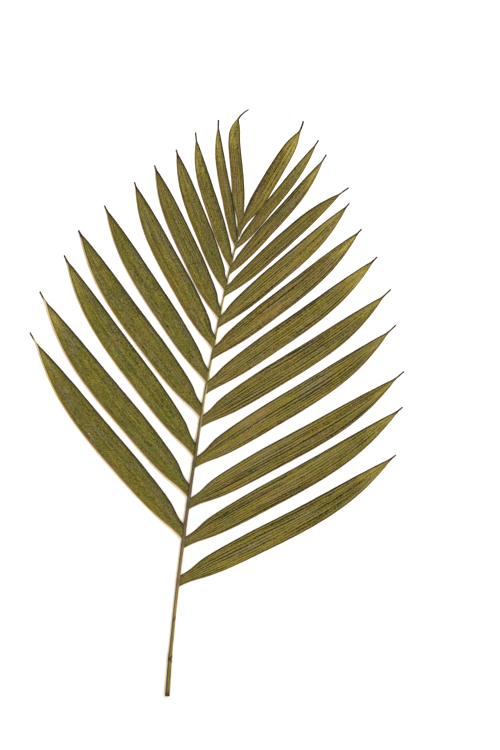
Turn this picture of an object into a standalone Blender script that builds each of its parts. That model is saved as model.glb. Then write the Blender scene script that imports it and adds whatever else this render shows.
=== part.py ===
"""A dried pinnate palm frond, cut and laid flat: one thin stem with two rows of pleated leaflets.

Metres, +Z up. +Y runs from the cut end of the stem towards the tip, and the frond lies on z = 0 with
the origin under the middle of its outline. The tables below count from the cut end of the stem.
"""

import math

import bmesh
import bpy
from mathutils import Vector

MM = 0.001

# Stem: its route along the frond, as (along, sideways, height of its underside, radius), in mm.
# The first stretch lies flat on the paper, with a joint ring at 31 mm
STEM_ROUTE = [
    (0, -0.1, 0.0, 1.95),
    (26, -2.1, 0.0, 1.7),
    (31, -2.5, 0.0, 1.85),
    (37, -2.8, 0.0, 1.5),
    (70, -4.4, 0.1, 1.3),
    (110, -5.7, 0.4, 1.3),
    (170, -6.7, 0.8, 1.25),
    (240, -6.5, 1.0, 0.95),
    (305, -3.8, 1.0, 0.75),
    (345, -1.2, 0.8, 0.65),
    (378, 2.1, 0.7, 0.5),
]
STEM_STATION = 9.0
NEAREST_STATIONS = 3.0
# Section of the stem in shares of its radius: flat underneath, with a shallow groove along the top
STEM_SECTION = [(0.66, -0.74), (0.96, -0.25), (0.93, 0.32), (0.58, 0.80), (0.16, 0.70),
                (-0.24, 0.95), (-0.76, 0.62), (-1.0, 0.05), (-0.66, -0.74)]
STEM_FLAT = 0.74

# Leaflets: (along the stem, degrees from +Y, length, width, foot, height of the tip, bow, bow skew,
# slenderness, hook), in mm. The bow is how far the leaflet's middle line swings out below the straight
# line to its tip, as a percentage of its length, and with a skew above 1 it is widest past the middle.
# A slenderness above 1 draws the point out sooner, and the hook turns the very tip upwards
LEFT_LEAFLETS = [
    (131.1, -46, 202.3, 21.4, 12, 0.4, 3.0, 1.5, 1.03, 0),
    (164.1, -45.2, 199.8, 21.2, 10.5, 0.9, 2.9, 1.7, 1.02, 0),
    (197.3, -42.3, 188.3, 20, 11, 0.4, 2.85, 1.7, 1, 0),
    (229, -42.7, 175.2, 19.4, 10.5, 1.0, 2.7, 1.6, 1, 0),
    (257.1, -39.4, 160, 17.4, 10.5, 0.6, 2.3, 1.7, 1, 0),
    (284.2, -34.6, 144, 17.5, 10, 0.4, 2.6, 1.7, 1, 0),
    (307.7, -31.9, 130.5, 15.7, 9, 1.0, 1.9, 1.7, 1, 0),
    (330.7, -28.2, 116.5, 13.9, 9, 0.7, 2.0, 1.6, 1, 0),
    (349.7, -23.5, 108.5, 11.7, 9, 0.4, 3.1, 1.7, 1.03, 0),
    (366, -16.3, 100, 8.8, 8, 1.0, 3.0, 1.7, 1.03, 0),
]
RIGHT_LEAFLETS = [
    (91.9, 51.3, 201.6, 19.8, 9, 0.4, 3.3, 1.5, 1, 0),
    (122.8, 49.7, 206.7, 19.8, 9, 0.9, 2.9, 1.6, 1, 0),
    (154.2, 49.9, 202.7, 20, 9, 0.5, 2.8, 1.7, 1.02, 0),
    (187.3, 47.1, 195.8, 20, 9, 0.4, 2.9, 1.7, 1.02, 0),
    (220.4, 46.6, 185.8, 19.2, 10, 1.0, 3.0, 1.65, 1.02, 0),
    (248, 44, 172.8, 17.4, 11, 0.4, 2.6, 1.6, 1, 0),
    (276.1, 41.6, 155.5, 16.8, 11, 0.7, 2.5, 1.55, 1, 0),
    (301.1, 39, 142, 15.4, 10, 0.4, 2.3, 1.6, 1, 0),
    (326.3, 41.3, 129.5, 12.4, 9, 1.0, -1.4, 2.0, 1.04, 0),
    (343.5, 31.1, 121, 11.4, 8.5, 0.6, 2.5, 1.6, 1.02, 0),
    (362.4, 29.1, 109, 9.8, 6, 0.4, 1.8, 1.6, 1.01, 0),
]
# The end pair grows on from the stem with hardly any foot, and the left one hooks over at its tip
END_PAIR = [
    (373, -6.5, 101, 10.6, 2.4, 0.4, 5.6, 2.7, 1, 5),
    (372, 21.9, 106, 12.7, 2.4, 0.7, -1.0, 0.75, 1.03, 2),
]

# Outline of every leaflet, as (share of its length, share of its width)
OUTLINE = [(0, 0.30), (0.05, 0.52), (0.12, 0.75), (0.25, 0.94), (0.42, 1.0), (0.58, 0.97), (0.70, 0.88),
           (0.80, 0.70), (0.88, 0.46), (0.94, 0.225), (0.965, 0.105), (1.0, 0.04)]
STATIONS = [0, 0.035, 0.085, 0.16, 0.26, 0.38, 0.50, 0.62, 0.73, 0.82, 0.90, 0.955, 1.0]
FOOT_BLEND = 0.14  # the share of the length over which the rows turn from the stem's line to square
END_BLEND = 0.2  # the same share for the end pair
FOOT_SAG = 0.5  # how far a blade sags towards the cut end of the stem, near its foot
END_SAG = -0.7  # the end pair leans together there
SAG_END = 0.36
HOOK_START = 0.9

THICKNESS = 0.7
THREAD_WIDTH = 0.8
ARCH = 1.3  # rise of a long leaflet between its foot and its tip
LONG_LEAFLET = 200.0
ARCH_GROWTH = 1.5  # shorter leaflets rise less than in proportion
ARCH_SKEW = 0.8  # under 1, the highest place is nearer the foot
ROOT_INSET = 0.35  # a leaflet starts this far to its own side of the stem's middle line
CAMBER = 0.065  # how far the two edges hang below the midrib, as a share of the leaflet's width
WIDE_LEAFLET = 20.0
PLEAT = 0.38  # height of the pleats of a wide leaflet
# Points across a leaflet, as (place from edge to edge, share of the pleat height)
PLEATS = [(-1.0, -0.2), (-0.62, 0.8), (-0.3, -1.0), (0.0, 1.2), (0.3, -1.0), (0.62, 0.8), (1.0, -0.2)]

LEAF_OLIVE = (0.15, 0.13, 0.03, 1.0)
LEAF_ROUGHNESS = 0.62
CREASE = math.radians(22)  # pleats with a sharper turn than this keep a crisp line


def along_points(points, at, column):
    """Smooth value of one column of a table, at a place along its first column."""
    last = len(points) - 1
    i = max(n for n in range(last) if n == 0 or points[n][0] <= at)
    x0, x1 = points[i][0], points[i + 1][0]
    y0, y1 = points[i][column], points[i + 1][column]

    def slope(n):
        a, b = max(n - 1, 0), min(n + 1, last)
        return (points[b][column] - points[a][column]) / (points[b][0] - points[a][0])

    t = (at - x0) / (x1 - x0)
    run = x1 - x0
    return (y0 * (1 + 2 * t) * (1 - t) ** 2 + slope(i) * run * t * (1 - t) ** 2
            + y1 * t * t * (3 - 2 * t) + slope(i + 1) * run * t * t * (t - 1))


def stem_radius(along):
    return along_points(STEM_ROUTE, along, 3)


def stem_middle(along):
    height = max(along_points(STEM_ROUTE, along, 2), 0.0) + STEM_FLAT * stem_radius(along)
    return Vector((along_points(STEM_ROUTE, along, 1), along, height))


def stem_heading(along):
    return (stem_middle(along + 1.0) - stem_middle(along - 1.0)).normalized()


def stem_heading_degrees(along):
    heading = stem_heading(along)
    return math.degrees(math.atan2(heading.x, heading.y))


def smooth_step(t):
    t = min(max(t, 0.0), 1.0)
    return t * t * (3 - 2 * t)


def mesh_object(name, points, faces):
    mesh = bpy.data.meshes.new(name)
    mesh.from_pydata([p * MM for p in points], [], faces)
    made = bpy.data.objects.new(name, mesh)
    bm = bmesh.new()
    bm.from_mesh(mesh)
    bmesh.ops.recalc_face_normals(bm, faces=bm.faces)
    bm.to_mesh(mesh)
    bm.free()
    return made


def make_stem():
    end = STEM_ROUTE[-1][0]
    count = round(end / STEM_STATION)
    marks = [row[0] for row in STEM_ROUTE[1:4]]
    stations = [n * end / count for n in range(count + 1)]
    stations = sorted(marks + [a for a in stations if min(abs(a - m) for m in marks) > NEAREST_STATIONS])
    sides = len(STEM_SECTION)
    points = []
    for along in stations:
        middle = stem_middle(along)
        for x, z in STEM_SECTION:
            points.append(middle + stem_radius(along) * Vector((x, 0, z)))
    faces = [tuple(range(sides))]
    for n in range(len(stations) - 1):
        for k in range(sides):
            a, b = n * sides + k, n * sides + (k + 1) % sides
            faces.append((a, b, b + sides, a + sides))
    first = (len(stations) - 1) * sides
    faces.append(tuple(range(first, first + sides)))
    return mesh_object("palm_frond", points, faces)


def make_leaflet(name, row):
    along, degrees, length, width, foot, tip_height, bow_percent, skew, slenderness, hook = row
    paired = name.startswith("end")
    side = -1 if degrees < stem_heading_degrees(along) else 1
    aim = math.radians(degrees)
    ahead = Vector((math.sin(aim), math.cos(aim), 0))
    # From the leaflet's lower edge to its upper edge, the one nearer the frond's tip
    across = Vector((-ahead.y, ahead.x, 0)) * side
    root = stem_middle(along)
    heading = stem_heading(along)
    start = root + ROOT_INSET * side * Vector((1, 0, 0))
    top, bottom = [], []
    for t in STATIONS:
        turned = smooth_step(t / (END_BLEND if paired else FOOT_BLEND))
        row_line = across if paired else (heading * (1 - turned) + across * turned).normalized()
        wide = max(along_points(OUTLINE, min(t * slenderness, 1.0), 1) * width, THREAD_WIDTH)
        wide = foot * (1 - turned) + wide * turned
        bow = bow_percent / 100 * length * math.sin(math.pi * t ** skew)
        bow += (END_SAG if paired else FOOT_SAG) * math.sin(math.pi * min(t / SAG_END, 1.0))
        bow -= hook * max((t - HOOK_START) / (1 - HOOK_START), 0.0) ** 2
        middle = start + ahead * (length * t) - across * bow
        rise = ARCH * (length / LONG_LEAFLET) ** ARCH_GROWTH * math.sin(math.pi * t ** ARCH_SKEW)
        middle.z = root.z * (1 - t) + tip_height * t + rise
        shape = min(wide / width, 1.0) * turned
        for place, pleat in PLEATS:
            drop = CAMBER * width * shape * place ** 2
            lift = PLEAT * pleat * shape * min(width / WIDE_LEAFLET, 1.0)
            point = middle + row_line * (wide * place / 2)
            level = max(middle.z - drop + lift, THICKNESS / 2)
            top.append(Vector((point.x, point.y, level + THICKNESS / 2)))
            bottom.append(Vector((point.x, point.y, level - THICKNESS / 2)))
    return mesh_object(name, top + bottom, leaflet_faces(len(top)))


def leaflet_faces(under):
    """Triangles of a thin blade, split alike on both faces; under is where the lower points start."""
    columns = len(PLEATS)
    rows = len(STATIONS)
    faces = []
    for n in range(rows - 1):
        for k in range(columns - 1):
            a, b = n * columns + k, n * columns + k + 1
            c, d = b + columns, a + columns
            halves = [(a, b, c), (a, c, d)] if k < columns // 2 else [(a, b, d), (b, c, d)]
            for half in halves:
                faces.append(half)
                faces.append(tuple(p + under for p in reversed(half)))
        for k in (0, columns - 1):
            a, d = n * columns + k, (n + 1) * columns + k
            faces.append((a, d, d + under))
            faces.append((a, d + under, a + under))
    for n in (0, rows - 1):
        for k in range(columns - 1):
            a, b = n * columns + k, n * columns + k + 1
            faces.append((a, b, b + under))
            faces.append((a, b + under, a + under))
    return faces


def centre_on_origin(obj):
    """Moves the mesh so that the middle of its box is over the origin, and its underside stays on z = 0."""
    xs = [v.co.x for v in obj.data.vertices]
    ys = [v.co.y for v in obj.data.vertices]
    middle = Vector((min(xs) + max(xs), min(ys) + max(ys), 0)) / 2
    for v in obj.data.vertices:
        v.co -= middle


def make_material():
    leaf = bpy.data.materials.new("dried_olive_leaf")
    leaf.use_nodes = True
    shader = leaf.node_tree.nodes["Principled BSDF"]
    shader.inputs["Base Color"].default_value = LEAF_OLIVE
    shader.inputs["Roughness"].default_value = LEAF_ROUGHNESS
    shader.inputs["Metallic"].default_value = 0.0
    leaf.diffuse_color = LEAF_OLIVE
    return leaf


def fuse(body, pieces):
    group = bpy.data.collections.new("leaflets")
    bpy.context.scene.collection.children.link(group)
    for piece in pieces:
        group.objects.link(piece)
    union = body.modifiers.new("fuse", "BOOLEAN")
    union.operation = "UNION"
    union.operand_type = "COLLECTION"
    union.collection = group
    union.solver = "EXACT"
    bpy.context.view_layer.objects.active = body
    bpy.ops.object.modifier_apply(modifier=union.name)
    for piece in pieces:
        bpy.data.objects.remove(piece)
    bpy.data.collections.remove(group)


for old in list(bpy.data.objects):
    bpy.data.objects.remove(old)

frond = make_stem()
bpy.context.scene.collection.objects.link(frond)
leaflets = []
for place, rows in (("left", LEFT_LEAFLETS), ("right", RIGHT_LEAFLETS), ("end", END_PAIR)):
    for number, row in enumerate(rows, 1):
        leaflets.append(make_leaflet(f"{place}_leaflet_{number}", row))
fuse(frond, leaflets)
centre_on_origin(frond)
frond.data.shade_smooth()
frond.data.set_sharp_from_angle(angle=CREASE)
frond.data.materials.clear()
frond.data.materials.append(make_material())
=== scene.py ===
import math
import random
from functools import partial

import bmesh
import bpy
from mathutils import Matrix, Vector


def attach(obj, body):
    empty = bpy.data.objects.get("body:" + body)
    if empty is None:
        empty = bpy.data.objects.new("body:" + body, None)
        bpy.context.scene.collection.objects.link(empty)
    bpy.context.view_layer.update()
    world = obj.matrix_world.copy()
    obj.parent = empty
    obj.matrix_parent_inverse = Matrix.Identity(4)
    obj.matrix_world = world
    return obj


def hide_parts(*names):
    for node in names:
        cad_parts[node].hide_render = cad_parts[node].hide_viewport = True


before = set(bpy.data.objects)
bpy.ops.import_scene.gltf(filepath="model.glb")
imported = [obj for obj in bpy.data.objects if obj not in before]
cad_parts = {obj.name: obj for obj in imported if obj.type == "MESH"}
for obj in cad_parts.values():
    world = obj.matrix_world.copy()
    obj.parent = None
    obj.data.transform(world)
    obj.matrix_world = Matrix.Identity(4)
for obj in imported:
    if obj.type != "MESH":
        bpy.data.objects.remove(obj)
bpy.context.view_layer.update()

mm = 0.001
# where the part's origin lies, counted from the cut end of the stem, in mm
rowOrigin = Vector((0.205, 236.98, 0.0))


def linearColour(hexValue):
    channels = [int(hexValue[i:i + 2], 16) / 255 for i in (1, 3, 5)]
    return tuple(c / 12.92 if c <= 0.04045 else ((c + 0.055) / 1.055) ** 2.4 for c in channels) + (1.0,)


def addNode(tree, kind, feeds=(), **settings):
    # adds one node, sets it up, and feeds its inputs from nodes, sockets or plain values
    node = tree.nodes.new(kind)
    for name, value in settings.items():
        setattr(node, name, value)
    for key, value in (feeds.items() if isinstance(feeds, dict) else enumerate(feeds)):
        if isinstance(value, bpy.types.Node):
            value = next(o for o in value.outputs if o.enabled)
        if isinstance(value, bpy.types.NodeSocket):
            tree.links.new(value, node.inputs[key])
        elif value is not None:
            node.inputs[key].default_value = value
    return node


def emptyMaterial(name):
    made = bpy.data.materials.new(name)
    made.use_nodes = True
    made.node_tree.nodes.clear()
    return made, made.node_tree


def shapeCurve(node, points):
    # lays out the points of a float curve node, with smooth handles
    curve = node.mapping.curves[0]
    while len(curve.points) < len(points):
        curve.points.new(0.5, 0.5)
    for point, (x, y) in zip(curve.points, points):
        point.location = (x, y)
        point.handle_type = "AUTO"
    node.mapping.update()


def smoothTable(rows, at, column):
    # smooth value of one column of a table, at a place along its first column
    last = len(rows) - 1
    i = max(n for n in range(last) if n == 0 or rows[n][0] <= at)
    run = rows[i + 1][0] - rows[i][0]
    t = (at - rows[i][0]) / run

    def slope(n):
        a, b = max(n - 1, 0), min(n + 1, last)
        return (rows[b][column] - rows[a][column]) / (rows[b][0] - rows[a][0])

    return (rows[i][column] * (1 + 2 * t) * (1 - t) ** 2 + slope(i) * run * t * (1 - t) ** 2
            + rows[i + 1][column] * t * t * (3 - 2 * t) + slope(i + 1) * run * t * t * (t - 1))


# the stem: petiole and rachis in one
stem = {
    # (along, sideways, height of the underside, radius), in mm from the cut end
    "route": [
        (0, -0.1, 0.0, 1.95), (26, -2.1, 0.0, 1.7), (31, -2.5, 0.0, 1.85), (37, -2.8, 0.0, 1.5),
        (70, -4.4, 0.1, 1.38), (110, -5.7, 0.3, 1.42), (170, -6.7, 0.45, 1.36), (240, -6.5, 0.5, 1.08),
        (305, -3.8, 0.5, 0.8), (345, -1.2, 0.4, 0.7), (378, 2.1, 0.4, 0.45),
    ],
    # the rod itself runs this much further to the right than the leaflets' feet, in mm
    "drift": [
        (0, 0.0), (45, 0.1), (100, 0.1), (150, 0.2), (200, 0.4), (240, 0.5), (270, 0.5), (305, 0.3),
        (345, 0.3), (378, 0.1),
    ],
    "flat": 0.74,          # the flat underside lies this share of the radius below the middle
    "sides": 40,
    "rings": 420,
    "stops": 127,          # points along the line that the rings follow
    "cutAt": 0.2,          # mm from the cut end where that line starts
    "scarReach": 4.5,      # mm round a leaflet's foot where the stem swells
    "scarHeight": 0.16,    # mm, like the grain of its bark
    "barkGrain": 0.035,
    "grainRun": 12.0,      # how often the grain changes along the stem, and how fine it is around it
    "grainFine": 5.0,
    # radius share round the section, from the left over the underside and the right to the top
    "section": [
        (0.0, 1.0), (0.133, 0.98), (0.194, 0.79), (0.25, 0.74), (0.306, 0.79), (0.367, 0.98), (0.5, 0.97),
        (0.583, 0.98), (0.65, 0.96), (0.714, 0.74), (0.785, 0.96), (0.892, 0.97), (1.0, 1.0),
    ],
}


def stemMiddle(along):
    sideways, underside, radius = (smoothTable(stem["route"], along, column) for column in (1, 2, 3))
    return Vector((sideways, along, max(underside, 0.0) + stem["flat"] * radius)) - rowOrigin


def stemHeading(along):
    return (stemMiddle(along + 1) - stemMiddle(along - 1)).normalized()


# the leaflets
leaflet = {
    # along the stem, degrees from +Y, length, width, foot, height of the tip, bow in percent, where the bow
    # peaks, how slender the point is, and how far the thread at the tip hooks towards the upper edge
    "left": [
        (131.1, -46, 202.1, 21.4, 12, 0.3, 3.0, 1.5, 1.03, 0),
        (164.1, -45.2, 199.8, 21.2, 10.5, 0.6, 2.9, 1.7, 1.02, 0),
        (197.3, -42.3, 188.3, 20, 11, 0.3, 2.85, 1.7, 1, 0),
        (229, -42.55, 175.2, 19.6, 10.5, 0.7, 2.7, 1.6, 0.99, 0),
        (257.1, -39.4, 160, 17.4, 10.5, 0.5, 2.3, 1.7, 1, 0),
        (284.2, -34.6, 144, 17.5, 10, 0.3, 2.6, 1.7, 1, 0),
        (307.7, -31.9, 130.5, 15.7, 9, 0.7, 1.9, 1.7, 1, 0),
        (330.7, -28.2, 116.5, 13.9, 9, 0.5, 2.0, 1.6, 1, 0),
        (349.7, -23.5, 108.5, 11.7, 9, 0.3, 3.1, 1.7, 1.03, 0),
        (366, -16.4, 100, 8.6, 8, 0.7, 3.0, 1.7, 1.03, 0),
    ],
    "right": [
        (91.9, 51.3, 201.4, 19.8, 9, 0.3, 3.3, 1.5, 1, 0),
        (122.8, 49.7, 206.5, 19.8, 9, 0.6, 2.9, 1.6, 1, 0),
        (154.2, 49.9, 202.7, 20, 9, 0.4, 2.8, 1.7, 1.02, 0),
        (187.3, 47.1, 195.8, 20, 9, 0.3, 2.9, 1.7, 1.02, 0),
        (220.4, 46.6, 185.8, 19.2, 10, 0.7, 3.0, 1.65, 1.02, 0),
        (248, 44, 172.8, 17.4, 11, 0.3, 2.6, 1.6, 1, 0),
        (276.1, 41.6, 155.5, 16.8, 11, 0.5, 2.5, 1.55, 1, 0),
        (301.1, 39, 142, 15.4, 10, 0.3, 2.3, 1.6, 1, 0),
        (326.3, 41.3, 129.5, 12.4, 9, 0.7, -1.4, 2.0, 1.04, 0),
        (343.5, 31.2, 121, 11.1, 8.5, 0.5, 2.5, 1.6, 1.02, 0),
        (362.4, 29.1, 109, 9.4, 6, 0.3, 1.8, 1.6, 1.01, 0),
    ],
    # the end pair has hardly any foot
    "end": [
        (373, -6.5, 100.8, 10.4, 2.2, 0.3, 5.5, 2.7, 1, 5),
        (372, 21.9, 106, 12.6, 2.2, 0.5, -1.0, 0.75, 1.03, 2),
    ],
    "outline": [
        (0, 0.30), (0.05, 0.52), (0.12, 0.74), (0.25, 0.925), (0.42, 0.985), (0.58, 0.965), (0.70, 0.88),
        (0.80, 0.70), (0.88, 0.46), (0.94, 0.225), (0.965, 0.105), (1.0, 0.04),
    ],
    "hookStart": 0.9,      # share of the length where the hook begins
    # a leaflet whose thread hooks this far, in mm, has a full, blunt point; where its outline is read instead
    "bluntHook": 5.0,
    "bluntPlaces": [
        (0, 0), (0.5, 0.5), (0.7, 0.63), (0.8, 0.715), (0.85, 0.80), (0.9, 0.915), (0.93, 0.965), (1.0, 1.0),
    ],
    "bluntThread": 0.5,    # how much thicker its thread is
    # near its foot a blade sags towards the cut end of the stem, and the end pair leans together
    "footSag": 0.5, "footSagEnd": 0.36,
    "endSag": -1.1, "endSagEnd": 0.26,
    # share of the length over which the foot widens into the blade
    "footBlend": 0.14,
    "endBlend": 0.3,
    # mm from the foot where the dark rim sets in: past the joined part of the end pair, else all the way
    "endJoined": 20.0, "neverJoined": -10.0,
    "rootInset": 0.35,     # mm from the stem's middle to where a leaflet grows out
    # higher up, the feet clasp the stem: they reach over its top and past its middle
    "claspFrom": 190, "claspFull": 290, "claspOver": 0.35, "claspEnd": 0.08,
    "claspRadii": 0.95, "claspLift": 0.12,
    "fullLength": 200,     # mm, a full-grown leaflet, to which the shorter ones are compared
    "fullWidth": 20,
    "arch": 1.0,           # rise of a full-grown leaflet between foot and tip, in mm
    "archGrowth": 1.5,
    "archSkew": 0.8,
    # from fallFrom to fallFull, in mm along the stem, leaflets come down to the paper ever sooner
    "fallFrom": 290, "fallFull": 350, "fallPower": 3.0,
    "camber": 0.05,        # drop of the edges, as a share of the width
    "pleat": 0.36,         # mm
    "pleatSwing": 2.2,     # stretches the heights below to either side of the blade's own level
    "pleatSpread": (0.8, 1.25),     # some leaflets dried flatter than others
    # pleat height across a leaflet, from its lower edge to its upper edge
    "pleats": [
        (0.0, 0.42), (0.1, 0.56), (0.19, 0.80), (0.27, 0.46), (0.35, 0.16), (0.43, 0.52), (0.5, 0.98),
        (0.57, 0.52), (0.65, 0.16), (0.73, 0.46), (0.81, 0.80), (0.9, 0.56), (1.0, 0.42),
    ],
    "rows": 110,
    "columns": 33,
    "thickness": 0.30,     # mm, like the next two
    "threadWidth": 1.2,
    "wave": 0.35,          # slow waves that drying left in the blade
    "waveLength": 34.0,
    "rollRuns": 0.7, "rollShift": 13.7, "rollShare": 2.0,   # the blade also rolls, more slowly than it waves
    "edgeRuns": 3.0,       # and its edge wanders faster
    "edgeWander": 0.5,
    "seed": 7,
    "seedSpread": 40.0,
}


def pointCloud(name, positions, attributes):
    mesh = bpy.data.meshes.new(name)
    mesh.from_pydata([p * mm for p in positions], [], [])
    for label, values in attributes.items():
        isVector = isinstance(values[0], Vector)
        layer = mesh.attributes.new(label, "FLOAT_VECTOR" if isVector else "FLOAT", "POINT")
        flat = [c for v in values for c in v] if isVector else values
        layer.data.foreach_set("vector" if isVector else "value", flat)
    made = bpy.data.objects.new(name, mesh)
    bpy.context.scene.collection.objects.link(made)
    return made


# what each leaflet's point carries: for its lines, for its shape and for its finish
lineFacts = ("rootPlace", "heading", "aheadLine", "acrossLine", "claspLine")
shapeFacts = ("bladeLength", "bladeWidth", "footLength", "footBlend", "tipDrop", "bowReach", "bowSkew",
              "tipSlim", "sagReach", "sagEnd", "hookReach", "bluntShare", "riseReach", "fallPower",
              "pleatShare", "leafSeed")
skinFacts = ("goldShare", "brownShare", "veinShare", "rimFrom")


def leafletRoots(rows):
    # one point for each leaflet, carrying the sizes that the tree reads
    draw = random.Random(rows + str(leaflet["seed"]))
    facts = {key: [] for key in lineFacts + shapeFacts + skinFacts}
    places = []
    shades = [leafSkin[key][rows] for key in ("goldTips", "browned", "veined")]
    for row, gold, browned, veined in zip(leaflet[rows], *shades):
        along, degrees, length, width, foot, tipHeight, bow, skew, slim, hook = row
        isEnd = rows == "end"
        heading = stemHeading(along)
        side = -1 if degrees < math.degrees(math.atan2(heading.x, heading.y)) else 1
        aim = math.radians(degrees)
        ahead = Vector((math.sin(aim), math.cos(aim), 0))
        across = Vector((-ahead.y, ahead.x, 0)) * side
        root = stemMiddle(along)
        places.append(root + Vector((leaflet["rootInset"] * side, 0, 0)))
        facts["rootPlace"].append(places[-1] * mm)
        clasp = (along - leaflet["claspFrom"]) / (leaflet["claspFull"] - leaflet["claspFrom"])
        clasp = 0 if isEnd else min(max(clasp, 0), 1)
        over = smoothTable(stem["drift"], along, 1) - (leaflet["rootInset"] + leaflet["claspOver"]) * side
        lift = leaflet["claspRadii"] * smoothTable(stem["route"], along, 3) + leaflet["claspLift"]
        facts["claspLine"].append(Vector((over, 0, lift)) * clasp * mm)
        facts["heading"].append(across if isEnd else heading)
        facts["aheadLine"].append(ahead)
        facts["acrossLine"].append(across)
        facts["bladeLength"].append(length * mm)
        facts["bladeWidth"].append(width * mm)
        facts["footLength"].append(foot * mm)
        facts["footBlend"].append(leaflet["endBlend" if isEnd else "footBlend"])
        facts["tipDrop"].append((tipHeight - root.z) * mm)
        facts["bowReach"].append(bow / 100 * length * mm)
        facts["bowSkew"].append(skew)
        facts["tipSlim"].append(slim)
        facts["sagReach"].append(leaflet["endSag" if isEnd else "footSag"] * mm)
        facts["sagEnd"].append(leaflet["endSagEnd" if isEnd else "footSagEnd"])
        facts["rimFrom"].append(leaflet["endJoined" if isEnd else "neverJoined"])
        facts["hookReach"].append(hook * mm)
        facts["bluntShare"].append(hook / leaflet["bluntHook"])
        fall = (along - leaflet["fallFrom"]) / (leaflet["fallFull"] - leaflet["fallFrom"])
        fall = min(max(fall, 0), 1)
        facts["fallPower"].append(1 + (leaflet["fallPower"] - 1) * fall)
        grown = (length / leaflet["fullLength"]) ** leaflet["archGrowth"]
        facts["riseReach"].append(leaflet["arch"] * grown * (1 - fall) * mm)
        facts["pleatShare"].append(draw.uniform(*leaflet["pleatSpread"]))
        facts["leafSeed"].append(draw.uniform(0.0, 1.0))
        facts["goldShare"].append(gold)
        facts["brownShare"].append(browned)
        facts["veinShare"].append(veined)
    return pointCloud(rows + "Roots", places, facts)


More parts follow.
